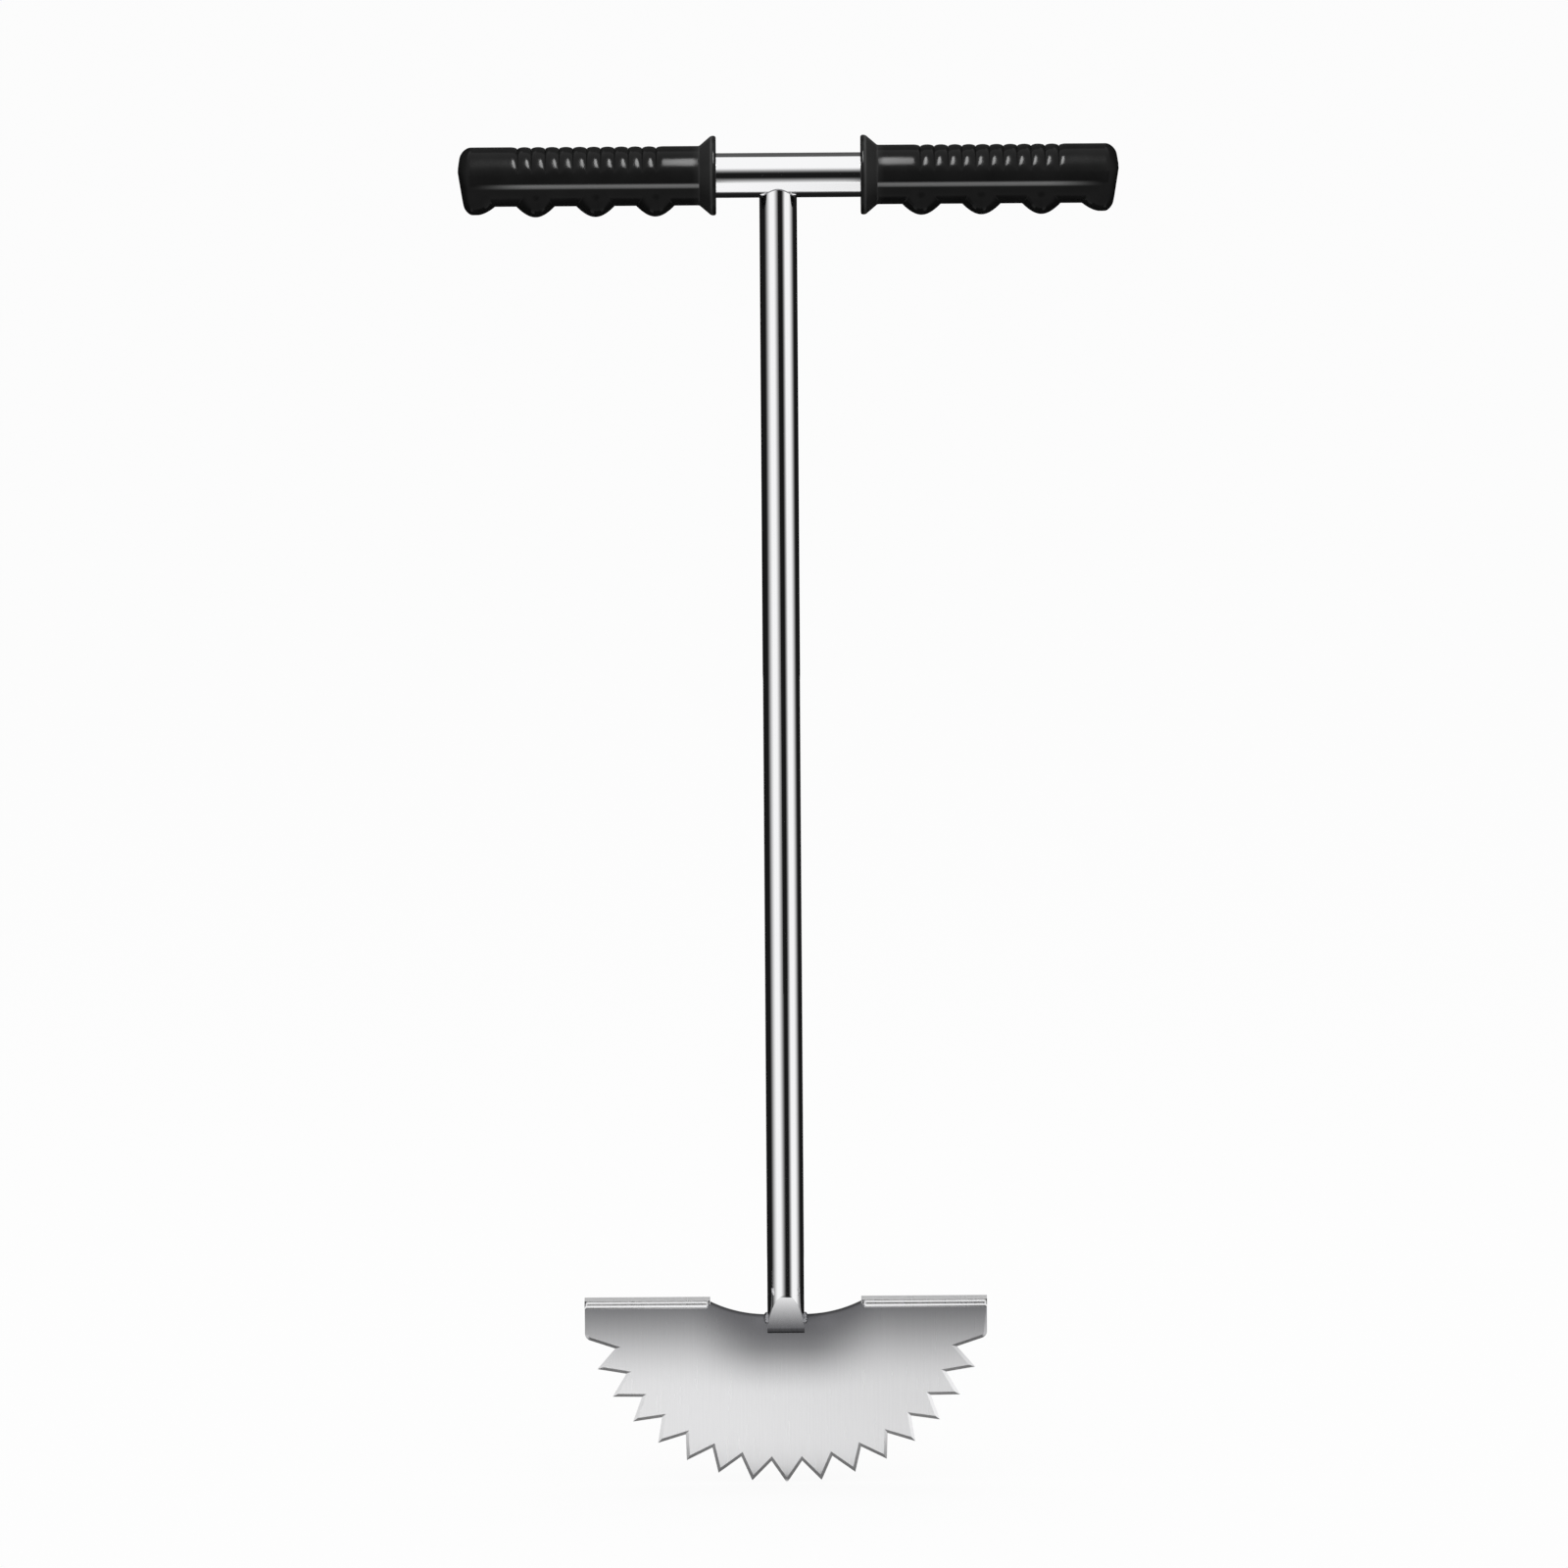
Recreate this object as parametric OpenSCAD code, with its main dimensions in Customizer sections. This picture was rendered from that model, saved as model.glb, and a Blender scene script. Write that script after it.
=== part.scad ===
// Half moon edger: a toothed half moon blade with two foot treads, a tubular
// shaft pinched and welded onto it, and a T handle with two finger grips.
// +Z is up, the blade faces -Y, and z = 0 is the level of the lowest tooth tip.

/* [Blade] */
// Width of the blade over its two ears
blade_w = 229; // [216:1:260]
// Thickness of the blade's sheet
blade_t = 2; // [1.5:0.1:3]
// Distance that the arc of the tooth tips, level with its centre, runs past an ear
arc_over = 0.5; // [0:0.1:4]
// Depth of that arc below its centre line
arc_depth = 102.5; // [90:0.5:115]
// Number of teeth
tooth_count = 15; // [9:2:17]
// Angle from one tooth to the next
tooth_pitch = 9.9; // [8:0.1:10]
// Height of a tooth from root to tip
tooth_h = 13.9; // [8:0.1:15]
// Height of each ear's straight side, up to the tread's top
ear_h = 24; // [20:0.5:28]
// Radius of each ear's lower corner
ear_r = 4; // [1:0.5:6]

/* [Treads] */
// Height of the treads' top face above the lowest tooth tip
tread_z = 107.8; // [104:0.1:120]
// Depth of a tread in front of the blade
tread_depth = 17.5; // [15:0.5:30]
// Distance from the shaft's axis to a tread's inner end
tread_inner = 41; // [41:0.5:60]
// Inside radius of the fold
bend_r = 1; // [0.5:0.1:3]
// Corner radius at a tread's inner front corner
tread_inner_r = 7; // [2:0.5:10]
// Corner radius at a tread's outer front corner
tread_outer_r = 2.5; // [1:0.5:10]
// Radius of the round hem along a tread's front edge
hem_r = 2.3; // [1.2:0.1:3]
// Depth of the hem under a tread
hem_depth = 8; // [6:0.1:12]

/* [Dip] */
// Depth of the dip in the blade's top edge, below the treads' top face
dip_depth = 10.6; // [8:0.1:14]
// Radius of the curve on each side of the dip
dip_r = 64; // [50:1:75]

/* [Shaft] */
// Outside diameter of the shaft tube
shaft_d = 21.3; // [18:0.1:25]
// Wall of the shaft tube
shaft_wall = 2; // [1.2:0.1:3]
// Length of the pinched lips that hold the blade
lip_len = 10.6; // [8:0.1:14]
// Thickness of each lip
lip_t = 1.5; // [1:0.1:2.5]
// Height of the parallel part of a lip
lip_flat = 3; // [2:0.1:10]
// Height of the flat facet above the lips
facet_h = 20; // [8:0.1:24]
// Bevel along the lower edge of a lip
lip_bevel = 1; // [0.5:0.1:1.2]
// Play between a lip and the blade
slot_gap = 0.05; // [0.02:0.01:0.2]

/* [Handle] */
// Height of the crossbar's axis above the lowest tooth tip
crossbar_z = 751; // [500:1:1000]
// Outside diameter of the crossbar tube
crossbar_d = 25.4; // [22:0.1:30]
// Wall of the crossbar tube
crossbar_wall = 1.6; // [1:0.1:3]
// Length of bare crossbar between the rims of the two grips
bare_w = 82; // [70:0.1:160]
// Distance that the crossbar's middle stands to the right of the shaft's axis
crossbar_shift = 5.85; // [0:0.05:12]

/* [Grips] */
// Length of a grip, from the rim's open face to the closed end
grip_len = 146.5; // [135:0.1:152]
// Diameter of a grip's round body
grip_d = 33.8; // [32:0.1:38]
// Thickness of a grip's closed end
grip_end_t = 6; // [4:0.1:8]
// Play between a grip's socket and the crossbar, on the diameter
grip_fit = 0.1; // [0.04:0.01:0.3]
// Diameter of the rim that guards the hand
rim_d = 45.3; // [40:0.1:55]
// Thickness of the rim's edge
rim_t = 2.8; // [1.5:0.1:5]
// Length of the cone from the rim down to the body
rim_cone = 6.7; // [3:0.1:12]
// Radius that rounds the closed end
end_r = 6.5; // [2:0.1:9]
// Slope of the closed end's face below the axis, in degrees
end_slope = 10; // [0:0.5:12]
// Slope of the closed end's face above the axis, in degrees
end_slope_up = 8; // [0:0.5:12]

/* [Finger ridges] */
// Number of finger ridges under a grip
ridge_count = 3; // [1:1:3]
// Distance from the rim's open face to the first ridge
ridge_first = 34.5; // [26:0.5:40]
// Distance from one ridge to the next
ridge_pitch = 34; // [26:0.5:36]
// Width of a ridge along the grip
ridge_w = 21.8; // [14:0.1:24]
// Height of a ridge under the body
ridge_h = 6.2; // [2:0.1:8]
// Fullness of a ridge's back: 1 is a plain cosine, and less is rounder
ridge_power = 0.46; // [0.4:0.01:1]
// Distance from the crest of the end ridge to the closed end
end_ridge_run = 10; // [8:0.1:16]
// Height of the end ridge under the body
end_ridge_h = 4.2; // [2:0.1:6]

/* [Thumb grooves] */
// Number of grooves across the top of a grip
groove_count = 11; // [3:1:11]
// Distance from the rim's open face to the first groove
groove_first = 34; // [20:0.5:40]
// Distance from one groove to the next
groove_pitch = 7.86; // [5:0.01:8.5]
// Radius of a groove's round bottom
groove_r = 2; // [1:0.1:2.4]
// Depth of a groove at the top of the grip
groove_depth = 1.4; // [0.4:0.1:1.8]
// Angle from the top at which a groove runs out
groove_reach = 78; // [40:1:85]

/* [Welds] */
// Leg of the fillet round the shaft's head
head_weld = 1.2; // [1:0.1:3]
// Radius of the beads at the shaft's foot
foot_weld = 2.2; // [1.2:0.1:2.6]
// Distance from a lip's lower end up to the start of its bead
foot_weld_start = 4.5; // [3.5:0.1:6]

/* [Hidden] */
$fn = 96;

// Margin by which a cutting shape runs past what it cuts
over = 1;

crossbar_r = crossbar_d / 2;
shaft_r = shaft_d / 2;
grip_r = grip_d / 2;
// Overall width of the handle over both grips
handle_w = bare_w + 2 * grip_len;
crossbar_len = handle_w - 2 * grip_end_t;

// The flat sheet ends and the fold begins at this height
bend_z = tread_z - blade_t - bend_r;
// The fold turns about a line this far in front of the sheet's middle
bend_y = blade_t / 2 + bend_r;
dip_z = tread_z - dip_depth;
// Half width of the arc that the tooth tips lie on, and the height of its centre
arc_half_w = blade_w / 2 + arc_over;
arc_z = arc_depth;
ear_z = tread_z - ear_h;

foot_z = dip_z - lip_len;
lip_half_t = blade_t / 2 + slot_gap + lip_t;
// Half of a lip's width, where its face leaves the tube's round side
lip_half_w = sqrt(shaft_r * shaft_r - lip_half_t * lip_half_t);
lip_top_z = foot_z + lip_flat;
facet_top_z = lip_top_z + facet_h;

// A groove's ring is set below the grip's axis so that it runs out at the sides
groove_drop = groove_depth / (1 - cos(groove_reach));
groove_inner_r = grip_r - groove_depth + groove_drop;

// A point on the half moon, at an angle from straight down, inset from the tips
function moon(angle, inset) = [
    (arc_half_w - inset) * sin(angle),
    arc_z - arc_depth * (1 - inset / arc_half_w) * cos(angle)
];

// Angle of a tip, or of a root where step ends in a half, counted from the left
function tooth_angle(step) = (step - (tooth_count - 1) / 2) * tooth_pitch;

// Tooth points from the left outer root to the right one
function teeth() = concat(
    [moon(tooth_angle(-0.5), tooth_h)],
    [for (i = [0 : tooth_count - 1], side = [0, 1])
        side == 0 ? moon(tooth_angle(i), 0) : moon(tooth_angle(i + 0.5), tooth_h)]
);

function unit(v) = v / norm(v);

// Centre of the round that fits a corner between two directions
function round_centre(corner, a, b, r) =
    corner + unit(unit(a) + unit(b)) * r / sin(acos(unit(a) * unit(b)) / 2);

// Distance from a corner to where its round begins
function round_start(a, b, r) = r / tan(acos(unit(a) * unit(b)) / 2);

module on_shaft() {
    translate([-crossbar_shift, 0, 0]) children();
}

// Stands a drawing in x and z upright, with its thickness centred on y
module upright(thickness) {
    rotate([90, 0, 0]) linear_extrude(thickness, center = true) children();
}

// Turns a drawing of radius and distance about the X axis
module about_x() {
    rotate([0, 90, 0]) rotate_extrude() children();
}

module bar_x(d, len) {
    rotate([0, 90, 0]) cylinder(d = d, h = len, center = true);
}

module both_sides() {
    children();
    mirror([1, 0, 0]) children();
}

// Flat part of the blade, without its treads
module blade_outline() {
    corner = [blade_w / 2, ear_z];
    up = [0, 1];
    inward = moon(tooth_angle(tooth_count - 0.5), tooth_h) - corner;
    start = round_start(up, inward, ear_r);
    side_point = corner + up * start;
    under_point = corner + unit(inward) * start;
    difference() {
        union() {
            polygon(concat(
                [[-blade_w / 2, bend_z], [-side_point[0], side_point[1]],
                 [-under_point[0], under_point[1]]],
                teeth(),
                [under_point, side_point, [blade_w / 2, bend_z]]
            ));
            both_sides()
                translate(round_centre(corner, up, inward, ear_r)) circle(ear_r);
        }
        both_sides() translate([shaft_r, dip_z + dip_r]) circle(dip_r);
        translate([-shaft_r, dip_z]) square([shaft_d, dip_r]);
    }
}

// Quarter ring that joins the flat sheet to a tread, drawn in y and z
module fold_section() {
    translate([-bend_y, bend_z]) intersection() {
        difference() {
            circle(bend_r + blade_t);
            circle(bend_r);
        }
        square(bend_r + blade_t);
    }
}

// A tread's level sheet and the round hem under its front edge, drawn in y and z
module tread_section() {
    front = -blade_t / 2 - tread_depth;
    nose = front + hem_r;
    translate([nose, tread_z - blade_t]) square([-bend_y - nose, blade_t]);
    translate([nose, tread_z - hem_r]) circle(hem_r);
    translate([nose, tread_z - 2 * hem_r]) square([hem_depth - hem_r, 2 * hem_r]);
}

// Plan of the right tread in x and y, with its two front corners rounded. It runs
// past the hem, so that the corners cut the hem's round edge cleanly.
module tread_plan() {
    outer = blade_w / 2;
    front = -blade_t / 2 - tread_depth - over;
    polygon([
        [tread_inner, -bend_y], [tread_inner, front + tread_inner_r],
        [tread_inner + tread_inner_r, front], [outer - tread_outer_r, front],
        [outer, front + tread_outer_r], [outer, -bend_y]
    ]);
    translate([tread_inner + tread_inner_r, front + tread_inner_r])
        circle(tread_inner_r);
    translate([outer - tread_outer_r, front + tread_outer_r])
        circle(tread_outer_r);
}

module right_tread() {
    run = blade_w / 2 - tread_inner;
    translate([tread_inner, 0, 0])
        rotate([90, 0, 90]) linear_extrude(run) fold_section();
    intersection() {
        translate([tread_inner, 0, 0])
            rotate([90, 0, 90]) linear_extrude(run) tread_section();
        translate([0, 0, tread_z - 2 * hem_r - over])
            linear_extrude(2 * (hem_r + over)) tread_plan();
    }
}

module blade() {
    color("gainsboro") on_shaft() {
        upright(blade_t) blade_outline();
        both_sides() right_tread();
    }
}

// What is cut away in front of the shaft's foot, drawn in y and z
module foot_cut() {
    reach = shaft_r + over;
    polygon([
        [-lip_half_t + lip_bevel, foot_z], [-lip_half_t, foot_z + lip_bevel],
        [-lip_half_t, lip_top_z], [-shaft_r, facet_top_z], [-reach, facet_top_z],
        [-reach, foot_z - over], [-lip_half_t + lip_bevel, foot_z - over]
    ]);
}

// The shaft's outside: a round bar with two facets that run into flat lips
module shaft_outside() {
    difference() {
        translate([0, 0, foot_z]) cylinder(d = shaft_d, h = crossbar_z - foot_z);
        for (side = [0, 1]) mirror([0, side, 0])
            rotate([90, 0, 90])
                linear_extrude(shaft_d + 2 * over, center = true) foot_cut();
    }
}

module shaft() {
    bore_d = shaft_d - 2 * shaft_wall;
    slot_t = blade_t + 2 * slot_gap;
    color("silver") difference() {
        on_shaft() difference() {
            shaft_outside();
            translate([0, 0, facet_top_z])
                cylinder(d = bore_d, h = crossbar_z - facet_top_z + over);
            translate([-shaft_r - over, -slot_t / 2, foot_z - over])
                cube([shaft_d + 2 * over, slot_t, lip_len + over]);
        }
        translate([0, 0, crossbar_z]) bar_x(crossbar_d, crossbar_len);
    }
}

module crossbar() {
    color("silver") translate([0, 0, crossbar_z]) difference() {
        bar_x(crossbar_d, crossbar_len);
        bar_x(crossbar_d - 2 * crossbar_wall, crossbar_len + 2 * over);
    }
}

// Outline of a grip's round body and rim, as radius against distance
module grip_outline() {
    polygon([
        [0, 0], [rim_d / 2, 0], [rim_d / 2, rim_t], [grip_r, rim_t + rim_cone],
        [grip_r, grip_len - end_r], [grip_r - end_r, grip_len], [0, grip_len]
    ]);
    translate([grip_r - end_r, grip_len - end_r]) circle(end_r);
}

// Swell of a ridge, as a share of its height, at an angle along its cosine
function swell(angle) = pow((1 - cos(angle)) / 2, ridge_power);

// A finger ridge: a round disc that is set below the axis and swells along X
module finger_ridge() {
    steps = 16;
    base_r = grip_r - ridge_h;
    translate([0, 0, -ridge_h]) about_x() polygon(concat(
        [[0, -ridge_w / 2]],
        [for (i = [0 : steps]) [
            base_r + ridge_h * swell(360 * i / steps),
            ridge_w * (i / steps - 0.5)
        ]],
        [[0, ridge_w / 2]]
    ));
}

// The end ridge swells and then runs level to the closed end
module end_ridge() {
    steps = 8;
    crest = grip_len - end_ridge_run;
    base_r = grip_r - end_ridge_h;
    translate([0, 0, -end_ridge_h]) about_x() polygon(concat(
        [[0, crest - end_ridge_run]],
        [for (i = [0 : steps]) [
            base_r + end_ridge_h * swell(180 * i / steps),
            crest + end_ridge_run * (i / steps - 1)
        ]],
        [[grip_r, grip_len - end_r], [grip_r - end_r, grip_len], [0, grip_len]]
    ));
}

module thumb_groove() {
    translate([0, 0, -groove_drop]) about_x()
        translate([groove_inner_r + groove_r, 0]) circle(groove_r);
}

// A right-hand grip, with its open rim face at x = 0 and its axis on X
module grip() {
    socket_d = crossbar_d + grip_fit;
    difference() {
        union() {
            difference() {
                about_x() grip_outline();
                for (i = [0 : groove_count - 1])
                    translate([groove_first + i * groove_pitch, 0, 0]) thumb_groove();
            }
            for (i = [0 : ridge_count - 1])
                translate([ridge_first + i * ridge_pitch, 0, 0]) finger_ridge();
            end_ridge();
        }
        translate([-over, 0, 0]) rotate([0, 90, 0])
            cylinder(d = socket_d, h = grip_len - grip_end_t + over);
        translate([grip_len, 0, 0]) rotate([0, end_slope, 0])
            translate([0, -rim_d, -2 * rim_d]) cube(2 * rim_d);
        translate([grip_len, 0, 0]) rotate([0, -end_slope_up, 0])
            translate([0, -rim_d, 0]) cube(2 * rim_d);
    }
}

module right_grip() {
    color("#1c1c1c")
        translate([bare_w / 2, 0, crossbar_z]) grip();
}

module left_grip() {
    color("#1c1c1c")
        mirror([1, 0, 0]) translate([bare_w / 2, 0, crossbar_z]) grip();
}

// Fillet that follows the saddle where the shaft meets the crossbar
module crossbar_weld() {
    bead_h = crossbar_r + head_weld;
    color("darkgray") difference() {
        intersection() {
            translate([-crossbar_shift, 0, crossbar_z - bead_h])
                cylinder(d = shaft_d + 2 * head_weld, h = bead_h);
            translate([0, 0, crossbar_z])
                bar_x(crossbar_d + 2 * head_weld, crossbar_len);
        }
        translate([0, 0, crossbar_z]) bar_x(crossbar_d, crossbar_len);
        translate([-crossbar_shift, 0, crossbar_z - bead_h - over])
            cylinder(d = shaft_d, h = bead_h + over);
    }
}

// Two beads in the corners between the front of the blade and the shaft's lips
module foot_beads() {
    low = foot_z + foot_weld_start;
    high = dip_z;
    span = 2 * shaft_d;
    difference() {
        both_sides() translate([lip_half_w, -blade_t / 2, 0]) {
            translate([0, 0, low]) cylinder(r = foot_weld, h = high - low);
            translate([0, 0, low]) sphere(foot_weld);
            translate([0, 0, high]) sphere(foot_weld);
        }
        shaft_outside();
        translate([-span / 2, -blade_t / 2, foot_z]) cube([span, blade_t, lip_len]);
        translate([-span / 2, 0, foot_z]) cube([span, span, span]);
    }
}

module blade_weld_front() {
    color("darkgray") on_shaft() foot_beads();
}

module blade_weld_back() {
    color("darkgray") on_shaft() mirror([0, 1, 0]) foot_beads();
}

blade();
shaft();
crossbar();
left_grip();
right_grip();
crossbar_weld();
blade_weld_front();
blade_weld_back();
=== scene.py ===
"""Dresses the half moon edger: chromed tubes, a brushed blade, moulded grips and weld beads."""
import logging
from dataclasses import dataclass
from enum import Enum
from functools import partial
from typing import Callable, ClassVar, Sequence

import bmesh
import bpy
import numpy as np
from bpy.types import Material, Node, NodeTree, Object
from mathutils import Matrix, Vector


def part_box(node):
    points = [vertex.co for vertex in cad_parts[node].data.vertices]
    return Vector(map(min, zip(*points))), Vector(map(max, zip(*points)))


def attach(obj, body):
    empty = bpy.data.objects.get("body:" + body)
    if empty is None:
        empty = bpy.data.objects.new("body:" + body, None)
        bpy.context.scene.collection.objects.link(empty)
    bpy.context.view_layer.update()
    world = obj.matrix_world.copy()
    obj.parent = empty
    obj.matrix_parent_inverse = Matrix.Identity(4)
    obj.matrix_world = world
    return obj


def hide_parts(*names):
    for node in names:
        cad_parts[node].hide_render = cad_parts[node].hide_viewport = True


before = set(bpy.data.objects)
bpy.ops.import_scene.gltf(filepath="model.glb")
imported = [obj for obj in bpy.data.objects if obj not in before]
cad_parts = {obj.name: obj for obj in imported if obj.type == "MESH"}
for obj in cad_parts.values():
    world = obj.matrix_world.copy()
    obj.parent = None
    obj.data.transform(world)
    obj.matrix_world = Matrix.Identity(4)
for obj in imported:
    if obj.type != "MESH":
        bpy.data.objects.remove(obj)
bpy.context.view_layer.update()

BODY = "root"
MM = 0.001
WELD_DISTANCE = 1e-6
# Attribute that marks where the grips' painted highlights go.
HIGHLIGHT_MASK = "parting_line"
PRESSED_FLAT = "pressed_flat"
# Range that a noise texture fills for the most part.
NOISE_SPAN = {"From Min": 0.3, "From Max": 0.7}
# Numbers of a Mix node's two colour inputs, whose names its other inputs share.
COLOUR_A = 6
COLOUR_B = 7
# Fades of a studio card that is dark right up to its first or its last border.
DARK_START = (-1.0, -0.9)
DARK_END = (1.9, 2.0)
NO_FADE = (*DARK_START, *DARK_END)

Pair = tuple[float, float]
Fade = tuple[float, float, float, float]

log = logging.getLogger("half_moon_edger")


class Slot(Enum):
    """The record's material slots."""

    BLADE = "blade_steel"
    TUBE = "tube_chrome"
    GRIP = "grip_vinyl"
    WELD = "weld_metal"


class Side(Enum):
    """The two sides of the tool, as the sign of X."""

    LEFT = -1
    RIGHT = 1


def linear(code: str) -> tuple[float, float, float, float]:
    """Turns an sRGB hex colour into linear light.

    Args:
        code: six hex digits after a hash sign.

    Returns:
        Red, green, blue and an alpha of one.
    """
    srgb = np.array([int(code[i:i + 2], 16) for i in (1, 3, 5)]) / 255
    light = np.where(srgb <= 0.04045, srgb / 12.92, ((srgb + 0.055) / 1.055) ** 2.4)
    return (*(float(value) for value in light), 1.0)


def add_node(tree: NodeTree, kind: str, settings: dict | None = None,
             links: dict | None = None) -> Node:
    """Adds one shader node with its settings and links.

    Args:
        tree: node tree that gets the node.
        kind: Blender's type name of the node, after the word ShaderNode.
        settings: values by property name, or by the name or number of an input.
        links: what feeds each input, by its name or number: an output socket, or a node
            for its first output in use.

    Returns:
        The new node.
    """
    node = tree.nodes.new(f"ShaderNode{kind}")
    for key, value in (settings or {}).items():
        if isinstance(key, int) or key in node.inputs:
            node.inputs[key].default_value = value
        else:
            setattr(node, key, value)
    for key, source in (links or {}).items():
        if isinstance(source, Node):
            source = next(socket for socket in source.outputs if socket.enabled)
        tree.links.new(source, node.inputs[key])
    return node


def new_material(name: str) -> tuple[Material, Callable[..., Node]]:
    """Makes an empty node material.

    Args:
        name: name of the material.

    Returns:
        The material, and add_node for its tree.
    """
    material = bpy.data.materials.new(name)
    material.use_nodes = True
    material.node_tree.nodes.clear()
    return material, partial(add_node, material.node_tree)


def grid_quads(rows: int, columns: int, wrap: bool = True) -> np.ndarray:
    """Numbers the quads of a grid of points that are stored row by row.

    Args:
        rows: rows of points.
        columns: points in a row.
        wrap: joins the last column to the first.

    Returns:
        Four point numbers for each quad.
    """
    row, column = np.mgrid[0:rows - 1, 0:columns if wrap else columns - 1]
    right = (column + 1) % columns
    corners = (row * columns + column, row * columns + right,
               (row + 1) * columns + right, (row + 1) * columns + column)
    return np.stack(corners, axis=-1).reshape(-1, 4)


def rounded_path(corners: np.ndarray, radii: np.ndarray, steps: int) -> np.ndarray:
    """Rounds the inner corners of a path with circular arcs.

    Each arc's centre lies on the corner's bisector, one radius from both legs, and
    the arc turns from one tangent point to the other by spherical interpolation.

    Args:
        corners: the path's points, first and last included, as rows.
        radii: radius of the round at each inner corner, above zero.
        steps: points on each arc.

    Returns:
        The rounded path's points as rows.
    """
    inner = corners[1:-1]
    back = corners[:-2] - inner
    ahead = corners[2:] - inner
    back = back / np.linalg.norm(back, axis=1, keepdims=True)
    ahead = ahead / np.linalg.norm(ahead, axis=1, keepdims=True)
    opening = np.arccos(np.clip((back * ahead).sum(axis=1), -1, 1))[:, None]
    bisector = back + ahead
    bisector = bisector / np.linalg.norm(bisector, axis=1, keepdims=True)
    radius = radii[:, None]
    centre = inner + bisector * radius / np.sin(opening / 2)
    first = inner + back * radius / np.tan(opening / 2) - centre
    last = inner + ahead * radius / np.tan(opening / 2) - centre
    turn = (np.pi - opening)[:, :, None]
    share = np.linspace(0, 1, steps)[None, :, None]
    arc = (np.sin((1 - share) * turn) * first[:, None] + np.sin(share * turn) * last[:, None])
    arc = centre[:, None] + arc / np.sin(turn)
    return np.vstack([corners[:1], arc.reshape(-1, corners.shape[1]), corners[-1:]])


def smooth_step(low: float, high: float, value: np.ndarray) -> np.ndarray:
    """Rises from 0 at low to 1 at high as 3t squared less 2t cubed."""
    share = np.clip((value - low) / (high - low), 0, 1)
    return share * share * (3 - 2 * share)


def circle_sag(share: np.ndarray) -> np.ndarray:
    """Drop of a unit circle beside its top: one less the root of one less the share squared."""
    return 1 - np.sqrt(1 - share ** 2)


def full_turn(count: int) -> np.ndarray:
    """Even angles round a whole turn, without the last one."""
    return np.linspace(0, 2 * np.pi, count, endpoint=False)


def node_box(node: str) -> tuple[np.ndarray, np.ndarray]:
    """Gives a CAD node's lowest and highest corners, in metres, as arrays."""
    low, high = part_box(node)
    return np.array(low), np.array(high)


def make_piece(name: str, points: np.ndarray, faces: Sequence[Sequence[int]],
               sharp: float = 28.0, values: dict[str, np.ndarray] | None = None) -> Object:
    """Makes a closed mesh object whose faces point outwards.

    Args:
        name: name of the piece.
        points: three places a point, in metres, in rows or in a grid.
        faces: point numbers of each face.
        sharp: angle in degrees past which an edge stays sharp.
        values: attributes by name, with one value for each point.

    Returns:
        The new object, at the origin.
    """
    mesh = bpy.data.meshes.new(name)
    mesh.from_pydata(points.reshape(-1, 3).tolist(), [], faces)
    for attribute, share in (values or {}).items():
        layer = mesh.attributes.new(attribute, "FLOAT", "POINT")
        layer.data.foreach_set("value", share.astype(np.float32))
    work = bmesh.new()
    work.from_mesh(mesh)
    bmesh.ops.remove_doubles(work, verts=work.verts, dist=WELD_DISTANCE)
    bmesh.ops.recalc_face_normals(work, faces=work.faces)
    work.to_mesh(mesh)
    work.free()
    mesh.polygons.foreach_set("use_smooth", np.ones(len(mesh.polygons), dtype=bool))
    mesh.set_sharp_from_angle(angle=np.radians(sharp))
    piece = bpy.data.objects.new(name, mesh)
    bpy.context.collection.objects.link(piece)
    return piece


class SubAssembly:
    """What the sub-assemblies share: a slot in the record and the way they dress a piece."""

    slot: ClassVar[Slot]

    def dress(self, piece: Object, material: Material, node: str) -> Object:
        """Gives a piece its finish, its body and the CAD node it stands for.

        Args:
            piece: object to dress.
            material: its finish.
            node: name of the CAD node that the piece replaces.

        Returns:
            The same piece.
        """
        piece.data.materials.append(material)
        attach(piece, BODY)
        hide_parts(node)
        log.info("%s: %d points, stands for %s", piece.name, len(piece.data.vertices), node)
        return piece


def keep_flat(piece: Object) -> None:
    """Lets large flat faces set the normals beside them, and keeps sharp edges sharp.

    Args:
        piece: object that gets the modifier.
    """
    normals = piece.modifiers.new("flat faces", "WEIGHTED_NORMAL")
    normals.mode = "FACE_AREA"
    normals.weight = 100
    normals.keep_sharp = True


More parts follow.
